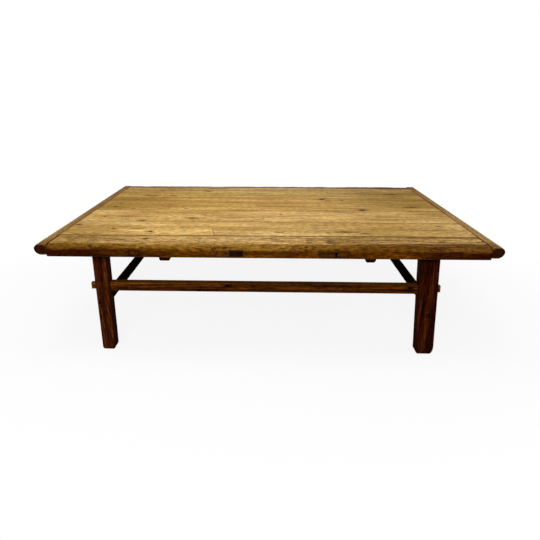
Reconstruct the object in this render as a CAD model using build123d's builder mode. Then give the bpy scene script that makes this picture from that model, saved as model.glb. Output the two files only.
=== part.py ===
"""Kang table: a low splay-legged table of frame-and-panel construction, held by its joints alone.

The top is four planks, tongued to each other and into a frame of two long rails and two end
boards. Battens slide across the planks in dovetail grooves and show their tenons in the rails'
faces. Four legs stand under the rails on blind tenons. Stretchers along the front and the back
pass through the legs, and lower ones join the legs at each end.

Millimetres. +Z is up, +X runs along the table, and -Y is its front. The origin is on the floor
under the middle of the top.
"""

import os
from math import radians, tan

from build123d import *

# ---- driving dimensions ----

top_length = 1500
top_depth = 960
table_height = 400

# long rails of the top's frame
rail_width = 112
rail_thickness = 41
nose_radius = 19  # worn round-over of the upper arris
nose_lean = 2  # the face falls back by this much towards the underside
soft_arris = 3

# end boards of the top's frame, with a bullnose that sweeps under
end_board_width = 38
end_board_thickness = 34
bullnose_radius = 12  # above the widest line; the sweep below it takes the rest

# planks, front to back; the last one fills what is left
plank_thickness = 20
front_plank_widths = [169, 174, 278]
tongue_thickness = 7
tongue_length = 8
tongue_cover = 6  # wood above each tongue and groove

# battens under the planks
end_batten_insets = [325, 150]  # middles of the outer ones, from the left and the right end
middle_batten_places = [-95, 246]  # middles of the inner ones, from the middle of the table
batten_widths = [33, 42, 35, 39]
batten_depth = 19  # what hangs below the planks
batten_tenon_height = 18
dovetail_height = 4
dovetail_flare = 4

# stub tenons of the long rails in the end boards
frame_tenon_width = 64
frame_tenon_thickness = 12
frame_tenon_length = 18
frame_tenon_rise = 7  # above the underside of the end board

# legs, each cut by hand: widths at the shoulder and the foot, lean along the table in degrees,
# and the rounding of the worn foot
leg_shapes = {
    "front_left": {"shoulder": 48, "foot": 45, "lean": 0.5, "rounding": 9},
    "front_right": {"shoulder": 63, "foot": 60, "lean": 3.5, "rounding": 15},
    "rear_left": {"shoulder": 62, "foot": 60, "lean": 2.0, "rounding": 10},
    "rear_right": {"shoulder": 58, "foot": 55, "lean": 2.0, "rounding": 12},
}
leg_inset = 192  # middle of each foot from the end of the table
leg_depth = 45
leg_lean_across = 3  # degrees
leg_edge = 5
leg_tenon_width = 28
leg_tenon_depth = 22
leg_tenon_length = 25

# stretchers along the table
long_stretcher_height = 239  # middle of its depth, above the floor
long_stretcher_depth = 32
long_stretcher_thickness = 25
long_tenon_depth = 24
long_tenon_thickness = 14
long_tenon_stands = [19, 13]  # what shows outside the left and the right leg

# stretchers across the table
side_stretcher_height = 187
side_stretcher_depth = 30
side_stretcher_thickness = 20
side_tenon_depth = 20
side_tenon_thickness = 10
side_tenon_length = 24

# old slot in the front rail beside a batten's tenon, patched but for a shallow recess and a hole
slot_batten = 3
slot_length = 58
slot_height = 16
slot_drop = 1  # its middle below the tenon's
slot_depth = 4
slot_hole_length = 7
slot_hole_depth = 16

fit = 0.15  # clearance on each side of a tenon or tongue
seam = 0.3  # open joint between boards
eased = 1.5  # softened arrises of the stretchers and battens

# ---- derived places ----

rail_bottom = table_height - rail_thickness
rail_middle = top_depth / 2 - rail_width / 2
end_board_bottom = table_height - end_board_thickness
inner_length = top_length - 2 * end_board_width
panel_depth = top_depth - 2 * rail_width
plank_bottom = table_height - plank_thickness
plank_middle = table_height - plank_thickness / 2
plank_widths = front_plank_widths + [panel_depth - sum(front_plank_widths)]
tongue_middle = table_height - tongue_cover - tongue_thickness / 2
groove_thickness = tongue_thickness + 2 * fit
groove_length = tongue_length + fit
batten_tenon_middle = plank_bottom + dovetail_height - batten_tenon_height / 2
end_battens = [end_batten_insets[0] - top_length / 2, top_length / 2 - end_batten_insets[1]]
batten_middles = end_battens[:1] + middle_batten_places + end_battens[1:]
batten_places = list(zip(batten_middles, batten_widths))
leg_spread = top_length / 2 - leg_inset
frame_tenon_middle = end_board_bottom + frame_tenon_rise + frame_tenon_thickness / 2


def leg_lean_at(lean, height):
    """How far a leaning leg has come in at this height, measured from its foot."""
    return height * tan(radians(lean))


def leg_along(name, height):
    """Distance of a leg's middle from the middle of the table, along it."""
    return leg_spread - leg_lean_at(leg_shapes[name]["lean"], height)


def leg_across(height):
    """Distance of a leg's middle from the middle of the table, across it."""
    return rail_middle + leg_lean_at(leg_lean_across, rail_bottom - height)


def leg_half_width(name, height):
    shape = leg_shapes[name]
    return (shape["foot"] + (shape["shoulder"] - shape["foot"]) * height / rail_bottom) / 2


def leg_inside(name, height):
    return leg_along(name, height) - leg_half_width(name, height)


def leg_outside(name, height):
    return leg_along(name, height) + leg_half_width(name, height)


def side_stretcher_along(side):
    """Middle of the end pair of legs, where their stretcher runs."""
    pair = [leg_along(f"{row}_{side}", side_stretcher_height) for row in ("front", "rear")]
    return sum(pair) / 2


def toward(name, word):
    """+1 if the name holds the word for the positive side, otherwise -1."""
    return 1 if word in name else -1


def finish(part, label):
    part.label = label
    export_step(part, f"parts/{label}.step")


os.makedirs("parts", exist_ok=True)

# ---- long rails of the frame ----

front_face = -top_depth / 2
inner_edge = front_face + rail_width
nose_top = (front_face + nose_radius, table_height)
nose_foot = (front_face, table_height - nose_radius)
face_foot = (front_face + nose_lean, rail_bottom + soft_arris)
underside_edge = (front_face + nose_lean + soft_arris, rail_bottom)
front_legs = [-leg_along("front_left", rail_bottom), leg_along("front_right", rail_bottom)]
rear_legs = [-leg_along("rear_left", rail_bottom), leg_along("rear_right", rail_bottom)]

with BuildPart() as rail_blank:
    with BuildSketch(Plane.YZ):
        with BuildLine():
            Polyline(nose_top, (inner_edge, table_height), (inner_edge, rail_bottom), underside_edge)
            RadiusArc(underside_edge, face_foot, soft_arris)
            Line(face_foot, nose_foot)
            RadiusArc(nose_foot, nose_top, nose_radius)
        make_face()
    extrude(amount=inner_length / 2, both=True)
    # stub tenons at both ends
    with BuildSketch(Plane.YZ):
        with Locations((-rail_middle, frame_tenon_middle)):
            Rectangle(frame_tenon_width, frame_tenon_thickness)
    extrude(amount=inner_length / 2 + frame_tenon_length, both=True)
    # groove for the tongue of the nearest plank
    with BuildSketch(Plane.YZ):
        with Locations((inner_edge, tongue_middle)):
            Rectangle(2 * groove_length, groove_thickness)
    extrude(amount=inner_length / 2, both=True, mode=Mode.SUBTRACT)
    # mortises right through for the battens
    with BuildSketch(Plane.XZ.offset(rail_middle)):
        for along, width in batten_places:
            with Locations((along, batten_tenon_middle)):
                Rectangle(width + 2 * fit, batten_tenon_height + 2 * fit)
    extrude(amount=rail_width, both=True, mode=Mode.SUBTRACT)

for label, rail_side, leg_places in (("rail_front", 1, front_legs), ("rail_rear", -1, rear_legs)):
    with BuildPart() as rail:
        add(rail_blank.part if rail_side == 1 else rail_blank.part.mirror(Plane.XZ))
        # blind mortises for the legs
        with BuildSketch(Plane.XY.offset(rail_bottom)):
            with Locations(*[(along, -rail_side * rail_middle) for along in leg_places]):
                Rectangle(leg_tenon_width + 2 * fit, leg_tenon_depth + 2 * fit)
        extrude(amount=leg_tenon_length + fit, mode=Mode.SUBTRACT)
        if rail_side == 1:
            tenon_middle, tenon_width = batten_places[slot_batten - 1]
            slot_end = tenon_middle - tenon_width / 2 - fit
            slot_middle = batten_tenon_middle - slot_drop
            for length, depth in ((slot_length, slot_depth), (slot_hole_length, slot_hole_depth)):
                with BuildSketch(Plane.XZ.offset(top_depth / 2)):
                    with Locations((slot_end - length / 2, slot_middle)):
                        Rectangle(length, slot_height)
                extrude(amount=-depth, mode=Mode.SUBTRACT)
    finish(rail.part, label)

# ---- end boards of the frame ----

end_face = top_length / 2
seam_side = inner_length / 2 + seam
crown = (end_face - bullnose_radius, table_height)
widest = (end_face, table_height - bullnose_radius)
sweep_radius = end_board_thickness - bullnose_radius
sweep_foot = (end_face - sweep_radius, end_board_bottom)

with BuildPart() as end_board_right:
    with BuildSketch(Plane.XZ):
        with BuildLine():
            RadiusArc(crown, widest, bullnose_radius)
            RadiusArc(widest, sweep_foot, sweep_radius)
            Polyline(sweep_foot, (seam_side, end_board_bottom), (seam_side, table_height), crown)
        make_face()
    extrude(amount=top_depth / 2, both=True)
    # groove for the ends of the planks
    with BuildSketch(Plane.XZ):
        with Locations((inner_length / 2, tongue_middle)):
            Rectangle(2 * groove_length, groove_thickness)
    extrude(amount=panel_depth / 2, both=True, mode=Mode.SUBTRACT)
    # mortises for the rails' stub tenons
    with BuildSketch(Plane.YZ.offset(inner_length / 2)):
        with Locations((-rail_middle, frame_tenon_middle), (rail_middle, frame_tenon_middle)):
            Rectangle(frame_tenon_width + 2 * fit, frame_tenon_thickness + 2 * fit)
    extrude(amount=frame_tenon_length + fit, mode=Mode.SUBTRACT)
    end_grain = end_board_right.faces().sort_by(Axis.Y)
    fillet(end_grain[0].edges() + end_grain[-1].edges(), eased)
finish(end_board_right.part, "end_board_right")

with BuildPart() as end_board_left:
    mirror(end_board_right.part, about=Plane.YZ)
finish(end_board_left.part, "end_board_left")

# ---- planks ----

front_edge = -panel_depth / 2
for number, plank_width in enumerate(plank_widths, start=1):
    rear_edge = front_edge + plank_width
    middle = (front_edge + rear_edge) / 2
    last = number == len(plank_widths)
    with BuildPart() as plank:
        with BuildSketch(Plane.YZ):
            with Locations((middle, plank_middle)):
                Rectangle(plank_width - seam, plank_thickness)
            with Locations((front_edge, tongue_middle)):
                Rectangle(2 * tongue_length, tongue_thickness)
            if last:
                with Locations((rear_edge, tongue_middle)):
                    Rectangle(2 * tongue_length, tongue_thickness)
        extrude(amount=(inner_length - seam) / 2, both=True)
        # tongues at both ends
        with BuildSketch(Plane.YZ):
            with Locations((middle, tongue_middle)):
                Rectangle(plank_width - seam, tongue_thickness)
        extrude(amount=inner_length / 2 + tongue_length, both=True)
        if not last:
            with BuildSketch(Plane.YZ):
                with Locations((rear_edge, tongue_middle)):
                    Rectangle(2 * groove_length, groove_thickness)
            extrude(amount=top_length / 2, both=True, mode=Mode.SUBTRACT)
        # dovetail grooves for the battens
        with BuildSketch(Plane.XZ):
            for along, width in batten_places:
                with BuildLine():
                    neck = width / 2 - dovetail_flare + fit
                    spread = width / 2 + fit
                    groove_top = plank_bottom + dovetail_height + fit
                    Polyline(
                        (along - neck, plank_bottom),
                        (along + neck, plank_bottom),
                        (along + spread, groove_top),
                        (along - spread, groove_top),
                        close=True,
                    )
                make_face()
        extrude(amount=top_depth, both=True, mode=Mode.SUBTRACT)
    finish(plank.part, f"plank_{number}")
    front_edge = rear_edge

# ---- battens ----

for number, (along, width) in enumerate(batten_places, start=1):
    with BuildPart() as batten:
        with BuildSketch(Plane.XZ):
            with BuildLine():
                neck = width / 2 - dovetail_flare
                dovetail_top = plank_bottom + dovetail_height
                Polyline(
                    (along - width / 2, plank_bottom - batten_depth),
                    (along + width / 2, plank_bottom - batten_depth),
                    (along + width / 2, plank_bottom),
                    (along + neck, plank_bottom),
                    (along + width / 2, dovetail_top),
                    (along - width / 2, dovetail_top),
                    (along - neck, plank_bottom),
                    (along - width / 2, plank_bottom),
                    close=True,
                )
            make_face()
        extrude(amount=(panel_depth - seam) / 2, both=True)
        fillet(batten.faces().sort_by(Axis.Z)[0].edges().filter_by(Axis.Y), eased)
        # tenons right through both rails, flush with their faces
        with BuildSketch(Plane.XZ.offset((panel_depth - seam) / 2)):
            with Locations((along, batten_tenon_middle)):
                Rectangle(width, batten_tenon_height)
        extrude(amount=rail_width + (seam - nose_lean) / 2)
        mirror(about=Plane.XZ)
    finish(batten.part, f"batten_{number}")

# ---- legs ----

for name, shape in leg_shapes.items():
    right = toward(name, "right")
    rear = toward(name, "rear")
    side = "right" if right == 1 else "left"
    with BuildPart() as leg:
        # seen from the front
        with BuildSketch(Plane.XZ) as front_outline:
            with BuildLine():
                Polyline(
                    (right * leg_inside(name, 0), 0),
                    (right * leg_outside(name, 0), 0),
                    (right * leg_outside(name, rail_bottom), rail_bottom),
                    (right * leg_inside(name, rail_bottom), rail_bottom),
                    close=True,
                )
            make_face()
            fillet(front_outline.vertices().group_by(Axis.Y)[0], shape["rounding"])
        extrude(amount=top_depth, both=True)
        # seen from the side
        with BuildSketch(Plane.YZ) as side_outline:
            with BuildLine():
                Polyline(
                    (rear * leg_across(0) - leg_depth / 2, 0),
                    (rear * leg_across(0) + leg_depth / 2, 0),
                    (rear * leg_across(rail_bottom) + leg_depth / 2, rail_bottom),
                    (rear * leg_across(rail_bottom) - leg_depth / 2, rail_bottom),
                    close=True,
                )
            make_face()
            fillet(side_outline.vertices().group_by(Axis.Y)[0], shape["rounding"])
        extrude(amount=top_length, both=True, mode=Mode.INTERSECT)
        fillet(leg.edges().filter_by(lambda edge: edge.length > rail_bottom / 2), leg_edge)
        # tenon into the rail above
        with BuildSketch(Plane.XY.offset(rail_bottom)):
            with Locations((right * leg_along(name, rail_bottom), rear * rail_middle)):
                Rectangle(leg_tenon_width, leg_tenon_depth)
        extrude(amount=leg_tenon_length)
        # mortise right through for the long stretcher
        with BuildSketch(Plane.YZ):
            with Locations((rear * leg_across(long_stretcher_height), long_stretcher_height)):
                Rectangle(long_tenon_thickness + 2 * fit, long_tenon_depth + 2 * fit)
        extrude(amount=top_length, both=True, mode=Mode.SUBTRACT)
        # blind mortise for the side stretcher
        mortise_end = leg_across(side_stretcher_height) - leg_depth / 2 + side_tenon_length + fit
        with BuildSketch(Plane.XZ):
            with Locations((right * side_stretcher_along(side), side_stretcher_height)):
                Rectangle(side_tenon_thickness + 2 * fit, side_tenon_depth + 2 * fit)
        extrude(amount=-rear * mortise_end, mode=Mode.SUBTRACT)
    finish(leg.part, f"leg_{name}")

# ---- stretchers along the table, tenoned right through the legs ----

for row, rear in (("front", -1), ("rear", 1)):
    left_leg = f"{row}_left"
    right_leg = f"{row}_right"
    low = long_stretcher_height - long_stretcher_depth / 2
    high = long_stretcher_height + long_stretcher_depth / 2
    across = Plane.XZ.offset(-rear * leg_across(long_stretcher_height))
    with BuildPart() as long_stretcher:
        with BuildSketch(across):
            with BuildLine():
                Polyline(
                    (-leg_inside(left_leg, low), low),
                    (leg_inside(right_leg, low), low),
                    (leg_inside(right_leg, high), high),
                    (-leg_inside(left_leg, high), high),
                    close=True,
                )
            make_face()
        extrude(amount=long_stretcher_thickness / 2, both=True)
        fillet(long_stretcher.edges().filter_by(Axis.X), eased)
        tenon_left = leg_outside(left_leg, long_stretcher_height) + long_tenon_stands[0]
        tenon_right = leg_outside(right_leg, long_stretcher_height) + long_tenon_stands[1]
        with BuildSketch(across):
            with Locations(((tenon_right - tenon_left) / 2, long_stretcher_height)):
                Rectangle(tenon_left + tenon_right, long_tenon_depth)
        extrude(amount=long_tenon_thickness / 2, both=True)
    finish(long_stretcher.part, f"stretcher_{row}")

# ---- stretchers across the table, on blind tenons ----

for side, right in (("left", -1), ("right", 1)):
    low = side_stretcher_height - side_stretcher_depth / 2
    high = side_stretcher_height + side_stretcher_depth / 2
    along = Plane.YZ.offset(right * side_stretcher_along(side))
    with BuildPart() as side_stretcher:
        with BuildSketch(along):
            with BuildLine():
                low_end = leg_across(low) - leg_depth / 2
                high_end = leg_across(high) - leg_depth / 2
                Polyline(
                    (-low_end, low),
                    (low_end, low),
                    (high_end, high),
                    (-high_end, high),
                    close=True,
                )
            make_face()
        extrude(amount=side_stretcher_thickness / 2, both=True)
        fillet(side_stretcher.edges().filter_by(Axis.Y), eased)
        tenon_reach = leg_across(side_stretcher_height) - leg_depth / 2 + side_tenon_length
        with BuildSketch(along):
            with Locations((0, side_stretcher_height)):
                Rectangle(2 * tenon_reach, side_tenon_depth)
        extrude(amount=side_tenon_thickness / 2, both=True)
    finish(side_stretcher.part, f"stretcher_{side}")
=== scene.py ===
"""Looks of the kang table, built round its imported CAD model.

Metres, in the CAD's frame: +Z up, +X along the table, -Y its front, the floor at Z = 0.
Each piece is a copy of its CAD node's mesh, cut finer and worn, and stays inside that node's box.
Each has a solid wood of its own, grown round a pith, so its faces and its end grain agree.
"""

import itertools
import math
from functools import partial

import bmesh
import bpy
import numpy as np
from mathutils import Matrix, Vector
from mathutils.bvhtree import BVHTree
from mathutils.kdtree import KDTree


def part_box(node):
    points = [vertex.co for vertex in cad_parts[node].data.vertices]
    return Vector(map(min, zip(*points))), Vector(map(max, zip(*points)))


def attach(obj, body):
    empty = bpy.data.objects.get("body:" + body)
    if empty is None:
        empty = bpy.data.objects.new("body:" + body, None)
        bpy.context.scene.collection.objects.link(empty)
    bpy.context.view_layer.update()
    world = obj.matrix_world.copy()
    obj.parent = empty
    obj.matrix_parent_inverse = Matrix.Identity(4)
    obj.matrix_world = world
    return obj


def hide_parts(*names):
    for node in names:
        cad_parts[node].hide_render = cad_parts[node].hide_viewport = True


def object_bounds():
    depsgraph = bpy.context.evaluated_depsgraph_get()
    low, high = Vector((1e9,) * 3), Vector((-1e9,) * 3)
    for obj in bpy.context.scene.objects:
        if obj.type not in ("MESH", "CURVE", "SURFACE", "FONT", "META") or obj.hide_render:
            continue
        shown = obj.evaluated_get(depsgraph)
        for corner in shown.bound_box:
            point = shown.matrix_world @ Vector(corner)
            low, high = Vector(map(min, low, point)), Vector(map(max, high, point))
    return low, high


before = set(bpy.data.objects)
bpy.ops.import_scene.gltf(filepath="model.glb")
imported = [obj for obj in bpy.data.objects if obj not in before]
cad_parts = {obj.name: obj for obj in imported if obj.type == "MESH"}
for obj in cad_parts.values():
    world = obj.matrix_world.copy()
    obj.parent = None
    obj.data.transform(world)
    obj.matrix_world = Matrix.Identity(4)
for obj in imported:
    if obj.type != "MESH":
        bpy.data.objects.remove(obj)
cad_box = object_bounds()

MM = 0.001
FAR = 1e3  # more than any distance in the scene

# ---- planes that the looks refer to, from the frame ----

TOP = cad_box[1].z
EDGE = cad_box[1].y  # the front and the back face of the top, at -EDGE and EDGE
TABLE_END = cad_box[1].x
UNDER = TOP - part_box("rail_front")[0].z  # depth of the rails' underside


def add_object(name, data):
    made = bpy.data.objects.new(name, data)
    bpy.context.scene.collection.objects.link(made)
    return made


# ---- worn meshes ----

WELD_REACH = 0.001 * MM  # corners as near as this are one
JOINT_REACH = 1.2 * MM  # an edge that is as near as this to another piece lies in a joint
ARRIS_REACH = 5 * MM  # how far wear spreads from a bare arris
SEAM_REACH = 4 * MM  # how far grime spreads from a joint
JOINT_BEVEL = 0.35 * MM
SAMPLE_SPACING = 3 * MM  # between the points that stand for an edge
FLAT_ANGLE = math.radians(0.5)  # faces that meet at less than this are one
SOFT_ANGLE = math.radians(12)  # an edge below this isn't worn
SHARP_ANGLE = math.radians(30)  # an edge above this is bevelled
SHADING_ANGLE = math.radians(38)  # an edge above this looks sharp


class Lattice:
    """Seeded value noise on a repeating lattice, smooth between its points, from 0 to 1."""

    SIZE = 32

    def __init__(self, seed):
        self.values = np.random.default_rng(seed).random((self.SIZE,) * 3)

    def at(self, points, per_metre, shift=0.0):
        """The noise at each point; per_metre: lattice cells in a metre, one number or one for each axis."""
        place = points * np.asarray(per_metre, float) + shift
        cell = np.floor(place).astype(int)
        part = place - cell
        part = part * part * (3 - 2 * part)
        total = np.zeros(len(points))
        for corner in itertools.product((0, 1), repeat=3):
            weight = np.prod(np.where(corner, part, 1 - part), axis=1)
            i, j, k = ((cell + corner) % self.SIZE).T
            total += weight * self.values[i, j, k]
        return total


lattice = Lattice(seed=11)


def smooth(value, low, high):
    """0 at low and beyond, 1 at high and beyond, smooth between; low may be above high."""
    share = np.clip((value - low) / (high - low), 0, 1)
    return share * share * (3 - 2 * share)


def joined_mesh(node):
    """The node's mesh with its flat triangles joined into whole faces."""
    mesh = bmesh.new()
    mesh.from_mesh(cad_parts[node].data)
    bmesh.ops.remove_doubles(mesh, verts=mesh.verts, dist=WELD_REACH)
    bmesh.ops.dissolve_limit(
        mesh,
        angle_limit=FLAT_ANGLE,
        use_dissolve_boundaries=False,
        verts=mesh.verts,
        edges=mesh.edges,
        delimit=set(),
    )
    return mesh


def tree_of_others(node):
    """Every other node's surface, to tell a bare edge from one that lies in a joint."""
    points, faces = [], []
    for name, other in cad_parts.items():
        if name != node:
            start = len(points)
            points += [vertex.co.copy() for vertex in other.data.vertices]
            faces += [[start + i for i in face.vertices] for face in other.data.polygons]
    return BVHTree.FromPolygons(points, faces)


def edge_samples(edge):
    """Points spread evenly along an edge."""
    start, end = (vertex.co for vertex in edge.verts)
    count = max(2, round((end - start).length / SAMPLE_SPACING))
    return [start.lerp(end, (i + 0.5) / count) for i in range(count)]


def in_box(point, box):
    return all(low <= place <= high for low, place, high in zip(box[0], point, box[1]))


def convex_edges(mesh, others, grime_and_shade_box=None):
    """The sharp edges, sorted into bare ones and ones held in a joint, and samples of all convex ones.

    grime_and_shade_box: two corners of a box in which bare edges count as held.
    """
    edges = {"bare": [], "held": []}
    samples = {"bare": [], "held": []}
    for edge in mesh.edges:
        if len(edge.link_faces) != 2 or not edge.is_convex:
            continue
        angle = edge.calc_face_angle()
        if angle < SOFT_ANGLE:
            continue
        sorted_points = {"bare": [], "held": []}
        for point in edge_samples(edge):
            held = others.find_nearest(point, JOINT_REACH)[0] is not None
            held = held or (grime_and_shade_box is not None and in_box(point, grime_and_shade_box))
            sorted_points["held" if held else "bare"].append(point)
        for kind, found in sorted_points.items():
            samples[kind] += found
        if angle > SHARP_ANGLE:
            bare = len(sorted_points["bare"]) > len(sorted_points["held"])
            edges["bare" if bare else "held"].append(edge)
    return edges, samples


def distances(points, samples):
    """Distance of each point from the nearest sample."""
    if not samples:
        return np.full(len(points), FAR)
    tree = KDTree(len(samples))
    for i, sample in enumerate(samples):
        tree.insert(sample, i)
    tree.balance()
    return np.array([tree.find(point)[2] for point in points])


def slice_mesh(mesh, axis, places):
    """Cut the mesh's faces at these places along an axis."""
    direction = Vector((axis == 0, axis == 1, axis == 2))
    for place in places:
        bmesh.ops.bisect_plane(
            mesh,
            geom=mesh.verts[:] + mesh.edges[:] + mesh.faces[:],
            dist=1e-7,
            plane_co=direction * float(place),
            plane_no=direction,
        )


def even_cuts(low, high, step):
    """Places between low and high, about a step apart."""
    count = max(1, round((high - low) / step))
    return np.linspace(low, high, count + 1)[1:-1]


def values_of(data, name):
    """The vertices' vectors of this name, one row each."""
    values = np.zeros(len(data.vertices) * 3)
    data.vertices.foreach_get(name, values)
    return values.reshape(-1, 3)


def bevel_edges(mesh, edges, offset):
    still_there = [edge for edge in edges if edge.is_valid]
    if still_there:
        bmesh.ops.bevel(
            mesh,
            geom=still_there,
            offset=offset,
            segments=2,
            profile=0.5,
            affect="EDGES",
            clamp_overlap=True,
        )


# how each kind of piece is cut and worn, in millimetres: the cells of its mesh along X, Y and Z, the width
# of a bare arris's bevel, and the depth of the wear at its arrises and of the hollows in its faces
WEAR = {
    "plank": dict(cells=(7, 7, 10), bevel=0.6, arrises=0.3, hollows=0.3),
    "rail": dict(cells=(5, 7, 3.5), bevel=1.0, arrises=0.7, hollows=0.3),
    "end board": dict(cells=(4, 6, 4), bevel=1.2, arrises=0.8, hollows=0.3),
    "batten": dict(cells=(6, 8, 5), bevel=1.0, arrises=0.8, hollows=0.3),
    "leg": dict(cells=(5, 5, 5), bevel=1.0, arrises=1.2, hollows=0.6),
    "long stretcher": dict(cells=(6, 4, 4), bevel=1.0, arrises=1.0, hollows=0.5),
    "side stretcher": dict(cells=(4, 6, 4), bevel=1.0, arrises=1.0, hollows=0.5),
}


def general_wear(points, arris, wear):
    """How deep each point is worn: unevenly and chipped near an arris, and in planed hollows elsewhere."""
    uneven = smooth(lattice.at(points, 22), 0.25, 0.8)
    chipped = smooth(lattice.at(points, 85, 5.3), 0.7, 0.9)
    at_arris = arris * wear["arrises"] * MM * (0.25 + uneven + 1.3 * chipped)
    return at_arris + wear["hollows"] * MM * lattice.at(points, (9, 30, 30), 2.7)


def store_values(data, name, values):
    """Keep a value for each vertex, which the materials read."""
    layer = data.attributes.new(name, "FLOAT", "POINT")
    layer.data.foreach_set("value", values.astype(np.float32))


def worn_piece(node, kind, cuts=(), shape=None, grime_and_shade_box=None, warp=None):
    """A piece that stands for a CAD node: its mesh with softened, worn arrises and hand-planed faces.

    kind: the entry of WEAR that it follows. cuts: more cutting planes, as (axis, places).
    shape: takes points and returns how deep the wood is worn there, beyond the general wear.
    grime_and_shade_box: two corners of a box in which bare arrises are darkened as in a joint instead of
    worn: grime at the feet, painted shade in the front rail's slot.
    warp: takes the worn points and returns them moved, for a form that depth can't give.
    """
    wear = WEAR[kind]
    mesh = joined_mesh(node)
    edges, samples = convex_edges(mesh, tree_of_others(node), grime_and_shade_box)
    bevel_edges(mesh, edges["held"], JOINT_BEVEL)
    bevel_edges(mesh, edges["bare"], wear["bevel"] * MM)
    low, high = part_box(node)
    for axis, cell in enumerate(wear["cells"]):
        slice_mesh(mesh, axis, even_cuts(low[axis], high[axis], cell * MM))
    for axis, places in cuts:
        slice_mesh(mesh, axis, places)
    data = bpy.data.meshes.new(node + "_worn")
    mesh.to_mesh(data)
    mesh.free()

    points, normals = values_of(data, "co"), values_of(data, "normal")
    arris = np.exp(-((distances(points, samples["bare"]) / ARRIS_REACH) ** 2))
    grimy = np.exp(-((distances(points, samples["held"]) / SEAM_REACH) ** 2))
    depth = general_wear(points, arris, wear)
    if shape:
        depth += shape(points)
    points = points - normals * depth[:, None]
    if warp:
        points = warp(points)
    # what is worn never passes the box of the CAD piece
    points = np.clip(points, np.array(low), np.array(high))
    data.vertices.foreach_set("co", points.ravel())
    store_values(data, "arris", arris)
    store_values(data, "seam", grimy)
    data.shade_smooth()
    data.set_sharp_from_angle(angle=SHADING_ANGLE)
    data.update()

    piece = add_object(node + "_wood", data)
    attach(piece, "root")
    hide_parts(node)
    return piece


# ---- procedural wood ----


def srgb(red, green, blue):
    """A colour given from 0 to 255 as a linear one."""

    def linear(level):
        level /= 255
        return level / 12.92 if level <= 0.04045 else ((level + 0.055) / 1.055) ** 2.4

    return (linear(red), linear(green), linear(blue), 1.0)


def new_material(name):
    material = bpy.data.materials.new(name)
    material.use_nodes = True
    return material


class Graph:
    """A tree of nodes, made by short calls. A value is a socket, a number, a vector or a colour."""

    def __init__(self, tree):
        self.tree = tree

    def put(self, socket, value):
        if isinstance(value, bpy.types.NodeSocket):
            self.tree.links.new(value, socket)
        else:
            socket.default_value = value

    def node(self, kind, *values, **settings):
        made = self.tree.nodes.new(kind)
        for name, setting in settings.items():
            setattr(made, name, setting)
        for socket, value in zip(made.inputs, values):
            self.put(socket, value)
        return made

    def math(self, operation, *values):
        return self.node("ShaderNodeMath", *values, operation=operation).outputs[0]

    def times(self, *values):
        return self.math("MULTIPLY", *values)

    def plus(self, *values):
        return self.math("ADD", *values)

    def times_plus(self, *values):
        """The first times the second, plus the third."""
        return self.math("MULTIPLY_ADD", *values)

    def vector(self, operation, *values):
        return self.node("ShaderNodeVectorMath", *values, operation=operation).outputs[0]

    def length(self, vector):
        return self.node("ShaderNodeVectorMath", vector, operation="LENGTH").outputs["Value"]

    def place(self):
        return self.node("ShaderNodeTexCoord").outputs["Object"]

    def split(self, vector):
        return self.node("ShaderNodeSeparateXYZ", vector).outputs

    def join(self, x, y, z):
        return self.node("ShaderNodeCombineXYZ", x, y, z).outputs[0]

    def attribute(self, name):
        return self.node("ShaderNodeAttribute", attribute_name=name).outputs["Fac"]

    def noise(self, vector, detail=2.0, roughness=0.5, output=0):
        # the second input is W, the third the scale
        return self.node("ShaderNodeTexNoise", vector, 0.0, 1.0, detail, roughness).outputs[output]

    def step(self, value, low, high):
        """0 at low and beyond, 1 at high and beyond, smooth between; low may be above high."""
        ends = (high, low, 1.0, 0.0) if low > high else (low, high, 0.0, 1.0)
        return self.node("ShaderNodeMapRange", value, *ends, interpolation_type="SMOOTHSTEP").outputs[0]

    def band(self, value, middle, half_width, soft):
        """1 within half_width of the middle, 0 beyond it by more than soft."""
        away = self.math("ABSOLUTE", self.math("SUBTRACT", value, middle))
        return self.step(away, half_width + soft, half_width)

    def mix(self, factor, first, second, blend="MIX"):
        made = self.node("ShaderNodeMix", data_type="RGBA", blend_type=blend)
        self.put(made.inputs[0], factor)
        self.put(made.inputs[6], first)
        self.put(made.inputs[7], second)
        return made.outputs[2]

    def swing(self, noise, amount):
        """Noise, from 0 to 1, turned into a value from about -amount to amount."""
        return self.times_plus(noise, 2 * amount, -amount)

    def nearest(self, place, marks, ragged):
        """Least distance from the marks, 1 at their rims, roughened by a noise."""
        least = FAR
        for centre, radii in marks:
            inverse = tuple(1 / radius for radius in radii)
            shift = tuple(-c / radius for c, radius in zip(centre, radii))
            distance = self.length(self.vector("MULTIPLY_ADD", place, inverse, shift))
            least = self.math("MINIMUM", least, distance)
        return self.plus(least, ragged)


def mark(half_length, half_width, grain="X", **place):
    """An oval mark at two of x, y and z, in millimetres; it runs through along the third."""
    radii = {axis: (half_length if axis.upper() == grain else half_width) * MM for axis in place}
    centre = tuple(place.get(axis, 0) * MM for axis in "xyz")
    return centre, tuple(radii.get(axis, FAR) for axis in "xyz")


def spread(marks, grain, lengthwise, crosswise):
    """The same marks, larger by these factors."""
    factors = [lengthwise if axis == grain else crosswise for axis in "XYZ"]
    return [(centre, tuple(r * f for r, f in zip(radii, factors))) for centre, radii in marks]


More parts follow.
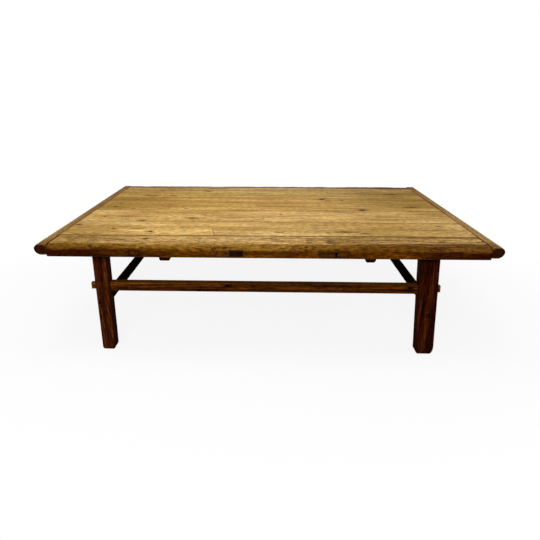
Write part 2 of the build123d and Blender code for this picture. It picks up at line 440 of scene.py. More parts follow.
# the figures in the wood: length and width in metres, a number that sets each apart from the others on
# the same piece and, where they aren't 2.0 and 0.5, its detail and roughness
WANDER = (0.75, 0.30, 1.0, 1.0)  # of the pith
RIPPLE = (0.12, 0.035, 2.0)  # of the rings
RAGGED = (0.012, 0.008, 3.0)  # rims of marks
FIBRE = (0.035, 0.0011, 6.0, 2.0, 0.6)
FLECK = (0.022, 0.0055, 7.0, 1.0)
THREAD = (0.045, 0.007, 8.0)  # in cracks
MOTTLE = (0.020, 0.0055, 9.0, 4.0, 0.75)
GATHERED = (0.35, 0.3, 10.0, 1.0)  # grime in joints
RAIL_WOBBLE = (0.05, 0.012, 11.0, 3.0)  # of its patina's edges
END_WOBBLE = (0.06, 0.02, 11.0)
DRIFT = (0.3, 0.3, 12.0)  # of the patina on a rail
PATCH = (0.16, 0.03, 13.0)  # on a rail's face
SPECKLE = (0.011, 0.008, 14.0, 3.0, 0.7)  # of pits
FACE_END = (0.2, 0.05, 15.0)  # of its brown
LET_IN_EDGE = (0.1, 0.1, 16.0)
LET_IN_BOW = (0.05, 0.05, 17.0)
BEND = (0.05, 0.3, 18.0)  # of cracks
UNEVEN = (0.05, 0.02, 18.0)  # rims of the painted light, painted shade and damp on legs and stretchers, which have no cracks
NOSE_RUB = (0.12, 0.05, 19.0)
BLUR = (0.10, 0.05, 20.0, 1.0)  # of the stains and painted shade
HALO = (0.05, 0.006, 21.0)  # of knots

HALO_SPREAD = (3.2, 1.5)  # how much longer and wider than its knot a halo is
KNOT_PUSH = 11 * MM  # how far a knot pushes the rings aside
KNOT_FADE = 0.16  # how fast that fades, by the squared distance in radii of the knot
RING_CHANGES = 60.0  # how often the rings change in width, per metre
CRACK_BEND = 7 * MM  # how far a crack strays
LEAST_SHADE = 0.25  # of the figure on the wood's colour
SEAM_SOFT = 0.55  # how softly the grime in a joint ends

# how far the late wood, the fibres, a full fleck, knot, pit or crack stand out, in millimetres
RELIEF = {"late": 0.10, "fibre": 0.14, "fleck": -0.30, "knot": -0.5, "pit": -1.0, "crack": -1.0}


class Wood(Graph):
    """A solid wood, whose colour and height are built up step by step.

    grain: the axis that it runs along. look: its tones and the strength of each kind of figure.
    knots: the marks that its rings part for.
    """

    def __init__(self, name, grain, look, knots):
        self.material = new_material(name)
        super().__init__(self.material.node_tree)
        self.look, self.grain, self.knots = look, grain, knots
        self.point = self.place()
        self.x, self.y, self.z = x, y, z = self.split(self.point)
        along, self.across, self.through = {"X": (x, y, z), "Y": (y, x, z), "Z": (z, x, y)}[grain]
        self.grained = self.join(along, self.across, self.through)
        self.seed = sum(map(ord, name)) % 97 * 1.37
        self.ragged = self.swung(RAGGED, 0.35)
        self.to_knot = self.nearest(self.point, knots, self.ragged) if knots else None
        self.band_figure = self.figure(look["band_length"], look["band_width"], shift=4.0)
        self.streak = self.figure(
            look["streak_length"], look["streak_width"], shift=5.0, detail=3.0, roughness=0.6
        )
        self.fibre = self.figure(*FIBRE)
        self.fleck = self.figure(*FLECK)
        self.colour = self.height = self.late = None

    def figure(self, lengthwise, crosswise, shift, detail=2.0, roughness=0.5, output=0):
        """Noise drawn out along the grain, with its sizes in metres; shift sets it apart from the others."""
        scale = (1 / lengthwise, 1 / crosswise, 1 / crosswise)
        away = (self.seed + shift, shift, self.seed - shift)
        return self.noise(self.vector("MULTIPLY_ADD", self.grained, scale, away), detail, roughness, output)

    def swung(self, figure, amount):
        """A figure turned into a value from about -amount to amount."""
        return self.swing(self.figure(*figure), amount)

    def paint(self, share, colour, blend="MIX"):
        """Cover this share of what is there with a colour."""
        self.colour = self.mix(share, self.colour, colour, blend)

    def shade(self, factor):
        """Multiply what is there by a number."""
        self.colour = self.vector("MULTIPLY", self.colour, factor)

    def raise_by(self, kind, share):
        self.height = self.times_plus(share, RELIEF[kind], self.height)

    def finished(self):
        """The material, with the colour, the height and a soft, uneven gloss."""
        inputs = self.tree.nodes["Principled BSDF"].inputs
        self.put(inputs["Base Color"], self.colour)
        rough = self.times_plus(self.fibre, 0.18, self.look["roughness"] - 0.09)
        self.put(inputs["Roughness"], self.times_plus(self.late, -0.05, rough))
        inputs["Specular IOR Level"].default_value = self.look["gloss"]
        bump = self.node("ShaderNodeBump")
        bump.inputs["Strength"].default_value = 1.0
        bump.inputs["Distance"].default_value = MM
        self.put(bump.inputs["Height"], self.height)
        self.put(inputs["Normal"], bump.outputs[0])
        return self.material


def late_wood(g, pith):
    """1 in the dark part of each ring round a wandering pith, pushed aside by the knots."""
    wander = g.split(g.figure(*WANDER, output=1))
    sideways = g.plus(g.across, g.swing(wander[0], g.look["wander"]))
    inward = g.plus(g.through, g.swing(wander[1], g.look["wander"] * 0.7))
    offset = [g.math("SUBTRACT", place, middle) for place, middle in zip((sideways, inward), pith)]
    ripple = g.swung(RIPPLE, g.look["ripple"])
    radius = g.plus(g.length(g.join(*offset, 0.0)), ripple)
    if g.knots:
        fade = g.times(g.times(g.to_knot, g.to_knot), -KNOT_FADE)
        radius = g.times_plus(g.math("POWER", math.e, fade), KNOT_PUSH, radius)
    uneven = g.noise(g.join(g.times(radius, RING_CHANGES), g.seed, 0.0), 1.0)
    rings = g.times_plus(radius, 1 / g.look["ring_width"], g.swing(uneven, 0.9))
    saw = g.math("FRACT", rings)
    return g.times(g.step(saw, 0.25, 0.9), g.step(saw, 1.0, 0.9))


def grow(g, pith):
    """The bare wood: broad tones, rings, dark streaks and flecks."""
    g.late = late_wood(g, pith)
    tone = g.times_plus(g.streak, 0.5, g.times(g.band_figure, 0.5))
    g.colour = g.mix(g.step(tone, 0.40, 0.50), g.look["deep"], g.look["mid"])
    g.paint(g.step(tone, 0.50, 0.60), g.look["pale"])
    g.paint(g.times(g.late, g.look["rings"]), g.look["ring"])
    g.paint(g.times(g.step(g.streak, 0.54, 0.68), g.look["streaks"]), g.look["streak"])
    flecked = g.times(g.step(g.fleck, 0.60, 0.70), g.look["flecks"])
    g.paint(flecked, g.look["streak"])
    g.height = g.times(g.late, RELIEF["late"])
    g.raise_by("fibre", g.fibre)
    g.raise_by("fleck", flecked)


def add_stains_and_shade(g, stains_and_shade):
    """Dark clouds with soft, uneven rims: old stains, and painted shade where the light falls off toward a
    piece's ends.
    """
    blurred = g.swung(BLUR, 0.5)
    stain_and_shade_share = g.step(g.nearest(g.point, stains_and_shade, blurred), 1.3, 0.2)
    g.paint(stain_and_shade_share, g.vector("MULTIPLY", g.colour, STAIN_AND_SHADE))


def add_shades(g):
    """The light and dark of the figure, which shows through the patina too."""
    shade = 1.0
    for strength, figure in (
        ("mottle", g.figure(*MOTTLE)),
        ("fibres", g.fibre),
        ("contrast", g.streak),
        ("bands", g.band_figure),
    ):
        centred = g.math("SUBTRACT", figure, 0.5)
        shade = g.times_plus(centred, g.look[strength], shade)
    g.shade(g.math("MAXIMUM", shade, LEAST_SHADE))


def wear_arrises(g):
    """Bare arrises are rubbed paler."""
    bare = g.step(g.plus(g.attribute("arris"), g.swing(g.streak, 0.6)), 0.3, 0.9)
    g.paint(g.times(bare, g.look["worn_share"]), g.look["worn"])


def add_knots(g):
    """Dark knots in a wispy halo."""
    wispy = g.times_plus(g.step(g.figure(*HALO), 0.40, 0.58), 0.5, 0.2)
    halo = spread(g.knots, g.grain, *HALO_SPREAD)
    around = g.step(g.nearest(g.point, halo, g.ragged), 1.3, 0.5)
    g.paint(g.times(around, wispy), g.look["streak"])
    core = g.step(g.to_knot, 1.25, 0.85)
    g.paint(g.times(core, 0.95), g.look["knot"])
    g.raise_by("knot", core)


def add_cracks(g, cracks):
    """Thin cracks and torn grain, parted along their length."""
    bend = g.swung(BEND, CRACK_BEND)
    bent = g.vector("ADD", g.point, g.join(0.0, bend, 0.0))
    near = g.step(g.nearest(bent, cracks, g.ragged), 1.15, 0.55)
    parted = g.times_plus(g.step(g.figure(*THREAD), 0.42, 0.52), 0.7, 0.3)
    split = g.times(near, parted)
    g.paint(g.times(split, 0.95), g.look["crack"])
    g.raise_by("crack", split)


def add_pits(g, pits):
    """Patches of small pits."""
    near = g.step(g.nearest(g.point, pits, g.ragged), 1.3, 0.4)
    pitted = g.times(near, g.step(g.figure(*SPECKLE), 0.48, 0.60))
    g.paint(g.times(pitted, 0.8), g.look["pit"])
    g.raise_by("pit", pitted)


def grime_seams(g):
    """Grime darkens the joints, more in some places than in others."""
    gathered = g.step(g.figure(*GATHERED), 0.38, 0.62)
    held = g.plus(g.attribute("seam"), g.swing(g.fleck, 0.25))
    seam = g.step(held, g.look["seam_from"], g.look["seam_from"] + SEAM_SOFT)
    least = g.look["least_seam"]
    share = g.times_plus(gathered, g.look["seams"] - least, least)
    g.paint(g.times(seam, share), g.look["crack"], "DARKEN")


def wood(name, grain, look, pith, knots=(), cracks=(), pits=(), stains_and_shade=(), patina=None):
    """The material of one piece. pith: where the tree's middle lies on the two axes across the grain.

    knots, cracks, pits and the stain marks: marks that hold them; the stain marks hold old stains and painted
    shade. patina: changes the colour by place, with painted light and shade on some pieces.
    """
    g = Wood(name, grain, look, knots)
    grow(g, pith)
    if stains_and_shade:
        add_stains_and_shade(g, stains_and_shade)
    if patina:
        patina(g)
    add_shades(g)
    wear_arrises(g)
    if knots:
        add_knots(g)
    if cracks:
        add_cracks(g, cracks)
    if pits:
        add_pits(g, pits)
    grime_seams(g)
    return g.finished()


# ---- looks ----


def look_like(other, **changes):
    """Another look, with what differs. Its colours are given from 0 to 255."""
    given = {name: srgb(*value) if isinstance(value, tuple) else value for name, value in changes.items()}
    return {**other, **given}


# the honey wood of the top: tones, then the share or strength of each figure, sizes in metres, and gloss
TOP_LOOK = look_like(
    {},
    pale=(221, 185, 110), mid=(204, 165, 90), deep=(186, 146, 73),
    ring=(158, 112, 52),
    streak=(120, 74, 24),
    knot=(48, 13, 2),
    pit=(66, 26, 14),
    crack=(82, 44, 14),
    worn=(206, 170, 108),
    worn_share=0.3,
    rings=0.30,
    streaks=0.35,
    flecks=0.5,
    fibres=0.6,
    mottle=3.0,
    contrast=0.9,
    bands=0.2,
    seams=0.9,
    least_seam=0.45,
    ring_width=0.0042,
    ripple=0.0016,
    wander=0.045,
    band_length=0.42,
    band_width=0.045,
    streak_length=0.20,
    streak_width=0.016,
    seam_from=0.3,
    roughness=0.58,
    gloss=0.02,
)
STAIN_AND_SHADE = (0.68, 0.64, 0.50)  # how much of the wood's red, green and blue a stain with its painted shade leaves
PLANK_LOOKS = {
    1: look_like(TOP_LOOK, pale=(225, 190, 121), mid=(210, 172, 101), deep=(192, 152, 82)),
    2: look_like(TOP_LOOK, pale=(219, 184, 114), mid=(202, 163, 93), deep=(184, 144, 77), bands=0.3),
    3: look_like(TOP_LOOK, pale=(214, 177, 100), mid=(197, 156, 78), deep=(176, 134, 60), bands=0.4),
    4: look_like(
        TOP_LOOK, pale=(211, 177, 99), mid=(197, 159, 80), deep=(178, 139, 64), rings=0.2, contrast=0.6
    ),
}
RAIL_LOOK = look_like(
    TOP_LOOK,
    pale=(199, 165, 106), mid=(179, 143, 84), deep=(149, 114, 58),
    worn=(170, 132, 68),
    rings=0.25,
    flecks=0.7,
    fibres=1.0,
    mottle=5.0,
    contrast=1.1,
    streak_width=0.011,
    # wider and darker at the joints: grime, and painted shadow in the gap beside the first plank
    least_seam=0.95,
    seams=1.0,
    seam_from=0.1,
    gloss=0.012,
)
REAR_RAIL_LOOK = look_like(
    RAIL_LOOK,
    pale=(218, 182, 120), mid=(200, 164, 104), deep=(176, 140, 82),
    mottle=3.2,
    contrast=1.0,
    least_seam=0.5,
)
END_LOOK = look_like(
    TOP_LOOK,
    pale=(182, 146, 90), mid=(162, 126, 74), deep=(136, 102, 54),
    worn=(150, 112, 58),
    mottle=3.4,
    least_seam=0.7,
    gloss=0.012,
)
END_LOOKS = {
    "end_board_left": look_like(END_LOOK, pale=(162, 128, 76), mid=(142, 109, 61), deep=(118, 88, 44)),
    "end_board_right": END_LOOK,
}
BATTEN_LOOK = look_like(
    TOP_LOOK,
    pale=(120, 80, 42), mid=(96, 60, 28), deep=(70, 40, 18),
    ring=(60, 32, 14),
    streak=(44, 24, 12),
    crack=(30, 14, 8),
    worn=(110, 66, 26),
    roughness=0.75,
    gloss=0.01,
)
LEG_LOOK = look_like(
    TOP_LOOK,
    pale=(114, 58, 20), mid=(81, 34, 12), deep=(50, 16, 6),
    ring=(40, 13, 5),
    streak=(22, 6, 3),
    knot=(26, 9, 4),
    crack=(14, 5, 3),
    worn=(140, 82, 30),
    worn_share=0.55,
    rings=0.6,
    streaks=0.8,
    fibres=1.2,
    mottle=2.8,
    contrast=2.4,
    bands=0.8,
    ripple=0.0007,
    wander=0.015,
    band_width=0.02,
    streak_length=0.22,
    streak_width=0.0034,
    roughness=0.75,
    gloss=0.004,
)
RED_LEG_LOOK = look_like(LEG_LOOK, pale=(104, 48, 14), mid=(71, 25, 8), deep=(42, 10, 5))
STRETCHER_LOOK = look_like(
    LEG_LOOK,
    pale=(126, 72, 20), mid=(92, 44, 10), deep=(58, 22, 6),
    knot=(16, 5, 3),
    worn=(150, 98, 34),
    worn_share=0.7,
    mottle=3.8,
)
# the side stretchers' darker worn arrises are part of their painted shade
SIDE_STRETCHER_SHADE_LOOK = look_like(LEG_LOOK, worn=(50, 28, 14), worn_share=0.3, gloss=0.0)
PAINTED_SHADE_FACTORS = (0.11, 0.22, 0.45)  # how much of the wood's red, green and blue the painted shade leaves

FACE_BROWN = srgb(126, 70, 4)
FACE_DARK = srgb(54, 13, 2)
NOSE_OLIVE = srgb(124, 85, 16)
# the colour of the nose's painted shade, low on the nose and on the rear rail
NOSE_SHADE = srgb(90, 50, 2)
NOSE_DARK = srgb(92, 54, 3)
END_GRAIN = srgb(50, 16, 2)
UNDERSIDE = srgb(92, 62, 36)
# painted light and rubbing by feet on the long stretchers' upper faces
LIT_AND_RUBBED = srgb(160, 100, 20)
# painted shade inside the front rail's old slot, and a near-black painted shadow in its deep hole
SLOT_SHADE = srgb(76, 42, 12)
HOLE_SHADOW = srgb(6, 3, 2)
TENON_ENDS = {1: srgb(82, 41, 8), 2: srgb(30, 8, 8), 3: srgb(104, 54, 8), 4: srgb(70, 22, 6)}


# ---- patinas, and painted light and shade ----


def dull_underside(g, begins, full):
    """The underside is dull and dark; it begins at one depth below the top and is full at the other."""
    g.paint(g.times(g.step(g.z, TOP - begins, TOP - full), 0.85), UNDERSIDE)


# where a rail's patina and painted shade change: across it, down from the top and along it
REAR = (0.0, EDGE / 2)
NOSE = (EDGE - 32 * MM, EDGE - 14 * MM)
OUTER = (EDGE - 24 * MM, EDGE - 14 * MM)
# heights between which the nose's painted shade deepens
NOSE_SHADE_DEEPENS = (TOP - 6 * MM, TOP - 15 * MM)
FACE = (TOP - 11 * MM, TOP - 19 * MM)
RIGHT_PART = (0.15, 0.5)
LEFT_PART = (-0.27, 0.08, 0.12)  # middle, half width and softness
NOSE_PALE = 0.2  # how far left of the middle the nose is palest
FACE_MIDDLE = 0.08  # how far right of the middle the face is brownest
# the rear rail's darker nose, reaching further in, is painted shade of its far edge
# how much further in the nose begins in some parts
REAR_NOSE = 24 * MM
RIGHT_NOSE = 18 * MM
LEFT_NOSE = -6 * MM


def nose_share(g, ragged):
    """1 where the rail's top has given way to its nose, which begins further in at the right and the rear."""
    outward = g.plus(g.math("ABSOLUTE", g.y), ragged)
    for where, wider in (
        (g.step(g.y, *REAR), REAR_NOSE),
        (g.step(g.x, *RIGHT_PART), RIGHT_NOSE),
        (g.band(g.x, *LEFT_PART), LEFT_NOSE),
    ):
        outward = g.times_plus(where, wider, outward)
    return g.step(outward, *NOSE)


def nose_colour(g, level):
    """Olive, rubbed paler near the middle, with painted shade deepening it lower down and on the rear rail.
    """
    aside = g.math("ABSOLUTE", g.plus(g.x, NOSE_PALE))
    rubbed = g.step(g.plus(aside, g.swung(NOSE_RUB, 0.12)), 0.62, 0.2)
    olive = g.mix(rubbed, NOSE_DARK, NOSE_OLIVE)
    olive = g.mix(g.step(level, *NOSE_SHADE_DEEPENS), olive, NOSE_SHADE)
    return g.mix(g.times(g.step(g.y, *REAR), 0.55), olive, NOSE_SHADE)


def face_colour(g):
    """Patches of red-brown, dark at the ends."""
    from_middle = g.math("ABSOLUTE", g.math("SUBTRACT", g.x, FACE_MIDDLE))
    ends = g.step(g.plus(from_middle, g.swung(FACE_END, 0.2)), 0.3, 0.7)
    patchy = g.times_plus(g.step(g.figure(*PATCH), 0.4, 0.65), 0.6, 0.45)
    patchy = g.times_plus(ends, -0.9, patchy)
    return g.mix(g.math("MAXIMUM", patchy, 0.0), FACE_DARK, FACE_BROWN)


def rail_patina_and_shade(g):
    """Below its pale top the rail is olive round the nose and red-brown on its face: its patina, and painted
    shade where the front turns down away from the light.
    """
    ragged = g.plus(g.swung(RAIL_WOBBLE, 7 * MM), g.swung(DRIFT, 6 * MM))
    level = g.plus(g.z, ragged)
    face = g.times(g.step(level, *FACE), g.step(g.math("ABSOLUTE", g.y), *OUTER))
    g.paint(g.times(nose_share(g, ragged), 0.92), nose_colour(g, level))
    g.paint(g.times(face, 0.96), face_colour(g))
    dull_underside(g, UNDER - 4 * MM, UNDER - 0.5 * MM)


# the old slot in the front rail: its two ends, and where its deep hole begins
SLOT_LEFT = 0.1703
SLOT_HOLE = 0.2214
SLOT_RIGHT = 0.2284
# bare arrises in this box take the joint's dark grime in place of wear: painted shade inside the slot
SLOT_BOX = (
    (SLOT_LEFT - 1 * MM, -EDGE, TOP - UNDER + 4 * MM),
    (SLOT_RIGHT + 1 * MM, 40 * MM - EDGE, TOP - 16 * MM),
)


def slotted_rail_patina_and_shade(g):
    """The rail's patina and painted shade, with painted shade inside its old slot and a near-black painted
    shadow in its deep hole.
    """
    rail_patina_and_shade(g)
    middle, half = (SLOT_LEFT + SLOT_RIGHT) / 2, (SLOT_RIGHT - SLOT_LEFT) / 2
    inside = g.band(g.x, middle, half, 0.5 * MM)
    # the face there lies at -EDGE plus about 1 mm, and the slot's floor 4 mm further in
    for limit in (
        g.step(g.y, 1.6 * MM - EDGE, 2.4 * MM - EDGE),
        g.step(g.z, TOP - 14 * MM, TOP - 18 * MM),
        g.step(g.y, 30 * MM - EDGE, 25 * MM - EDGE),
    ):
        inside = g.times(inside, limit)
    g.paint(inside, g.mix(g.step(g.x, SLOT_HOLE - 0.5 * MM, SLOT_HOLE), SLOT_SHADE, HOLE_SHADOW))


def end_patina(g):
    """An end board's bullnose and its end grain are dark."""
    wobble = g.swung(END_WOBBLE, 3 * MM)
    outer = g.step(g.math("ABSOLUTE", g.x), TABLE_END - 14 * MM, TABLE_END - 8 * MM)
    bullnose = g.times(g.step(g.plus(g.z, wobble), TOP - 4 * MM, TOP - 14 * MM), outer)
    outward = g.plus(g.math("ABSOLUTE", g.y), wobble)
    corner = g.step(outward, EDGE - 90 * MM, EDGE - 10 * MM)
    end_grain = g.step(outward, EDGE - 7 * MM, EDGE - 2 * MM)
    g.paint(g.times(corner, 0.55), NOSE_DARK)
    g.paint(g.times(bullnose, 0.85), FACE_BROWN)
    g.paint(g.times(end_grain, 0.97), END_GRAIN)
    dull_underside(g, 28 * MM, 33 * MM)


def plank_patina(g):
    dull_underside(g, 12 * MM, 18 * MM)


# a piece let into the front edge of the first plank: its ends, its back edge and its slant
LET_IN_LEFT = -0.262
LET_IN_RIGHT = -0.194
LET_IN_BACK = -0.286
LET_IN_SLANT = -0.21
LET_IN_END = 0.04  # where the darker board to its right blends in


def mended_plank_patina(g):
    """The first plank has a paler piece let in at the front, with a dark joint at its right end."""
    plank_patina(g)
    back = g.plus(g.y, g.swung(LET_IN_EDGE, 4 * MM))
    strip = g.step(back, LET_IN_BACK + 3 * MM, LET_IN_BACK - 3 * MM)
    slanted = g.times_plus(g.math("SUBTRACT", g.y, LET_IN_BACK), -LET_IN_SLANT, g.x)
    bowed = g.plus(slanted, g.swung(LET_IN_BOW, 8 * MM))
    pale = g.times(
        g.step(bowed, LET_IN_LEFT - 2 * MM, LET_IN_LEFT + 4 * MM),
        g.step(slanted, LET_IN_RIGHT + 1 * MM, LET_IN_RIGHT),
    )
    dark = g.times(
        g.step(slanted, LET_IN_RIGHT, LET_IN_RIGHT + 1 * MM),
        g.step(slanted, LET_IN_END, LET_IN_RIGHT + 60 * MM),
    )
    change = g.math("SUBTRACT", g.times(pale, 0.14), g.times(dark, 0.10))
    g.shade(g.times_plus(change, strip, 1.0))
    joint = g.band(slanted, LET_IN_RIGHT, 1.0 * MM, 1.0 * MM)
    faint = g.times(g.band(bowed, LET_IN_LEFT, 0.8 * MM, 1.0 * MM), 0.2)
    lines = g.times(g.math("MAXIMUM", joint, faint), strip)
    g.paint(g.times(lines, 0.7), PLANK_LOOKS[1]["crack"])


def lit_and_rubbed_patina(g, top):
    """The upper face of a long stretcher, at this height, is made paler: painted light on a face that the
    table's top shades, and rubbing by feet.
    """
    rubbed = g.step(g.plus(g.z, g.swung(UNEVEN, 2.5 * MM)), top - 4.5 * MM, top - 1 * MM)
    g.paint(g.times(rubbed, 0.22), LIT_AND_RUBBED)


def painted_shade_patina(g, outer):
    """A side stretcher is painted near black, as shade, but for its outer face, at this distance from the
    middle.
    """
    outward = g.plus(g.math("ABSOLUTE", g.x), g.swung(UNEVEN, 1 * MM))
    unshaded = g.step(outward, outer - 4 * MM, outer - 1.5 * MM)
    g.colour = g.mix(unshaded, g.vector("MULTIPLY", g.colour, PAINTED_SHADE_FACTORS), g.colour)


def leg_shadow_and_damp(g):
    """A painted shadow darkens the legs just under the rails, and damp has darkened the feet."""
    level = g.plus(g.z, g.swung(UNEVEN, 8 * MM))
    # painted shadow just below the rails
    gathered = g.step(level, TOP - UNDER - 38 * MM, TOP - UNDER - 6 * MM)
    damp = g.step(level, 130 * MM, 20 * MM)
    g.shade(g.times_plus(damp, -0.25, g.times_plus(gathered, -0.6, 1.0)))


def tenon_patina(g, end_colour):
    """The ends that show in the rails' faces have a colour of their own."""
    shown = g.step(g.math("ABSOLUTE", g.y), EDGE - 6 * MM, EDGE - 4 * MM)
    g.paint(g.times(shown, 0.9), end_colour)


# ---- pieces ----

# middle along and across the table, and half width across the grain, in millimetres
PLANK_KNOTS = {
    1: [(-408, -326, 7), (-550, -293, 5), (627, -237, 6), (275, -318, 7), (-696, -246, 6)],
    2: [(-290, -149, 9), (-640, -128, 5), (57, -85, 5)],
    3: [(246, 180, 11), (392, -12, 11), (612, 46, 8), (334, 168, 7), (-651, 31, 6)],
    4: [(-290, 345, 8), (455, 321, 5)],
}
# middle along and across the table, half length and half width, of dark clouds: old stains, and painted shade
# where the light falls off toward the ends
PLANK_STAINS_AND_SHADE = {
    1: [(370, -290, 400, 120), (-690, -290, 220, 140)],
    3: [(-600, 110, 300, 150), (560, 130, 300, 150)],
    4: [(600, 300, 300, 80)],
}
# a dark cloud at the rail's left end: an old stain, and painted shade where the light falls off
RAIL_STAINS_AND_SHADE = {"rail_front": [(-700, -420, 260, 100)]}
# both ends along the table, place across it, and half width
PLANK_CRACKS = {
    1: [(-535, -421, -287, 6), (-709, -676, -247, 8), (230, 330, -319, 7), (204, 226, -327, 5),
        (325, 366, -333, 5), (26, 62, -326, 6), (-700, -560, -352, 4)],
    2: [(-582, -503, -130, 6), (-500, -452, -187, 6), (-330, -232, -149, 7), (-396, -372, -158, 6),
        (-365, -322, -190, 5), (-226, -86, -147, 4), (-63, -3, -155, 5), (330, 470, -100, 4)],
    3: [(-596, -505, 243, 11), (-465, -422, 247, 10), (-414, -352, 204, 6), (-673, -615, 96, 7),
        (-572, -550, -5, 6), (-462, -412, -1, 6), (-350, -326, 1, 6), (368, 432, 0, 7),
        (560, 650, 45, 7), (237, 300, 203, 8), (252, 292, 149, 7), (12, 144, 105, 6)],
    4: [(540, 625, 291, 13), (-326, -256, 347, 8), (-120, 30, 300, 7)],
}
RAIL_KNOTS = {"rail_front": [(-404, -406, 5)], "rail_rear": [(210, 410, 5)]}
RAIL_CRACKS = {
    "rail_front": [
        (124, 162, -403, 5), (130, 152, -436, 6), (264, 296, -418, 5), (320, 420, -406, 4),
        (190, 228, -424, 6), (204, 246, -441, 6), (-520, -470, -420, 5), (500, 590, -425, 4),
        (-60, 40, -396, 4),
    ],
    "rail_rear": [(-300, -180, 402, 10), (80, 190, 440, 8)],
}
# middle along and across the table, half length and half width
RAIL_PITS = {
    "rail_front": [
        (-158, -474, 60, 9), (-222, -428, 6, 5), (-234, -380, 5, 4), (108, -474, 52, 9),
        (212, -432, 22, 18), (540, -476, 45, 5), (-560, -474, 70, 5),
    ],
    "rail_rear": [(-390, 430, 12, 6), (320, 470, 60, 8)],
}
# middle along and across the table, half length, half width and depth
RAIL_DENTS = {
    "rail_front": [
        (-180, -474, 14, 7, 2.0), (-128, -475, 18, 6, 1.6), (86, -476, 16, 7, 2.2),
        (132, -473, 22, 8, 2.4), (212, -440, 16, 10, 1.6), (394, -469, 9, 9, 2.4),
        (240, -474, 30, 6, 1.8), (-520, -475, 26, 6, 1.6), (-350, -476, 20, 5, 1.2),
        (585, -474, 20, 6, 1.4),
    ],
    "rail_rear": [(-260, 474, 24, 7, 2.0), (160, 475, 30, 6, 1.6), (480, 473, 18, 8, 2.2)],
}
RAIL_LOOKS = {"rail_front": RAIL_LOOK, "rail_rear": REAR_RAIL_LOOK}
RAIL_PATINAS = {"rail_front": slotted_rail_patina_and_shade, "rail_rear": rail_patina_and_shade}
NOSE_CUTS = np.arange(2, 24, 2.5) * MM  # in from the face, for a smooth nose


def knot_marks(knots, stretch, grain="X", second="y"):
    """Marks for knots that are longer than wide by a factor, at x and at a second of the axes."""
    return [mark(r * stretch, r, grain, **{"x": a, second: b}) for a, b, r in knots]


def crack_marks(cracks):
    return [mark((b - a) / 2, half, x=(a + b) / 2, y=y) for a, b, y, half in cracks]


def area_marks(areas):
    return [mark(*half_sizes, x=x, y=y) for x, y, *half_sizes in areas]


def make_plank(number):
    node = f"plank_{number}"
    low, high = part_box(node)
    piece = worn_piece(node, "plank")
    knots = knot_marks(PLANK_KNOTS[number], stretch=1.05)
    cracks = crack_marks(PLANK_CRACKS[number])
    stains_and_shade = area_marks(PLANK_STAINS_AND_SHADE.get(number, ()))
    pith = ((low.y + high.y) / 2 + 0.02 * (number - 2), TOP - 0.075)
    patina = mended_plank_patina if number == 1 else plank_patina
    piece.data.materials.append(
        wood(node, "X", PLANK_LOOKS[number], pith, knots, cracks, stains_and_shade=stains_and_shade, patina=patina)
    )


def rail_wear(points, dents):
    """The outer arris of a rail is worn wavy, with dents."""
    arris = np.exp(-(((np.abs(points[:, 1]) - (EDGE - 13 * MM)) / (10 * MM)) ** 2))
    arris *= smooth(points[:, 2], TOP - 18 * MM, TOP - 8 * MM)
    wavy = lattice.at(points, 16, 7.9) + 0.5 * lattice.at(points, 55, 3.3)
    depth = 2.4 * MM * arris * smooth(wavy, 0.45, 1.2)
    for x, y, half_length, half_width, deep in dents:
        away = ((points[:, 0] - x * MM) / (half_length * MM)) ** 2
        away += ((points[:, 1] - y * MM) / (half_width * MM)) ** 2
        depth += deep * MM * np.exp(-away) * (points[:, 2] > TOP - 20 * MM)
    return depth


def make_rail(node, side):
    """side: -1 for the front, 1 for the rear."""
    cuts = [(1, side * (EDGE - NOSE_CUTS))]
    grime_and_shade_box = SLOT_BOX if node == "rail_front" else None
    wear = partial(rail_wear, dents=RAIL_DENTS[node])
    piece = worn_piece(node, "rail", cuts, wear, grime_and_shade_box)
    knots = knot_marks(RAIL_KNOTS[node], stretch=1.7)
    cracks = crack_marks(RAIL_CRACKS[node])
    pits = area_marks(RAIL_PITS[node])
    stains_and_shade = area_marks(RAIL_STAINS_AND_SHADE.get(node, ()))
    pith = (side * 0.40, TOP - 0.12)
    piece.data.materials.append(
        wood(node, "X", RAIL_LOOKS[node], pith, knots, cracks, pits, stains_and_shade, RAIL_PATINAS[node])
    )


END_ROUND = 14 * MM  # length of the round at a board's end, above its end grain
END_DROP = {"front": 3 * MM, "rear": 6 * MM}  # how far the upper side falls there
END_CUTS = [(1, side * (EDGE - np.array([2, 4, 7, 10]) * MM)) for side in (-1, 1)]


def rounded_ends(points):
    """An end board's upper side falls away at its two ends, more at the rear."""
    away = np.clip((np.abs(points[:, 1]) - (EDGE - END_ROUND)) / END_ROUND, 0, 1)
    drop = np.where(points[:, 1] < 0, END_DROP["front"], END_DROP["rear"]) * (1 - np.sqrt(1 - away**2))
    points[:, 2] -= drop * smooth(points[:, 2], TOP - UNDER, TOP)
    return points


def make_end_board(node, side):
    """side: -1 for the left, 1 for the right."""
    piece = worn_piece(node, "end board", END_CUTS, warp=rounded_ends)
    pith = (side * 0.69, TOP - 0.09)
    piece.data.materials.append(wood(node, "Y", END_LOOKS[node], pith, patina=end_patina))


def make_batten(number):
    node = f"batten_{number}"
    piece = worn_piece(node, "batten")
    pith = (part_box(node)[0].x - 0.02, TOP - 0.08)
    patina = partial(tenon_patina, end_colour=TENON_ENDS[number])
    piece.data.materials.append(wood(node, "Y", BATTEN_LOOK, pith, patina=patina))


# middle along the table and above the floor, and half width
LEG_KNOTS = {
    "leg_front_left": [(-568, 183, 3), (-565, 169, 3)],
    "leg_front_right": [(554, 149, 5)],
    "leg_rear_left": [(-550, 210, 6)],
    "leg_rear_right": [(560, 90, 6)],
}
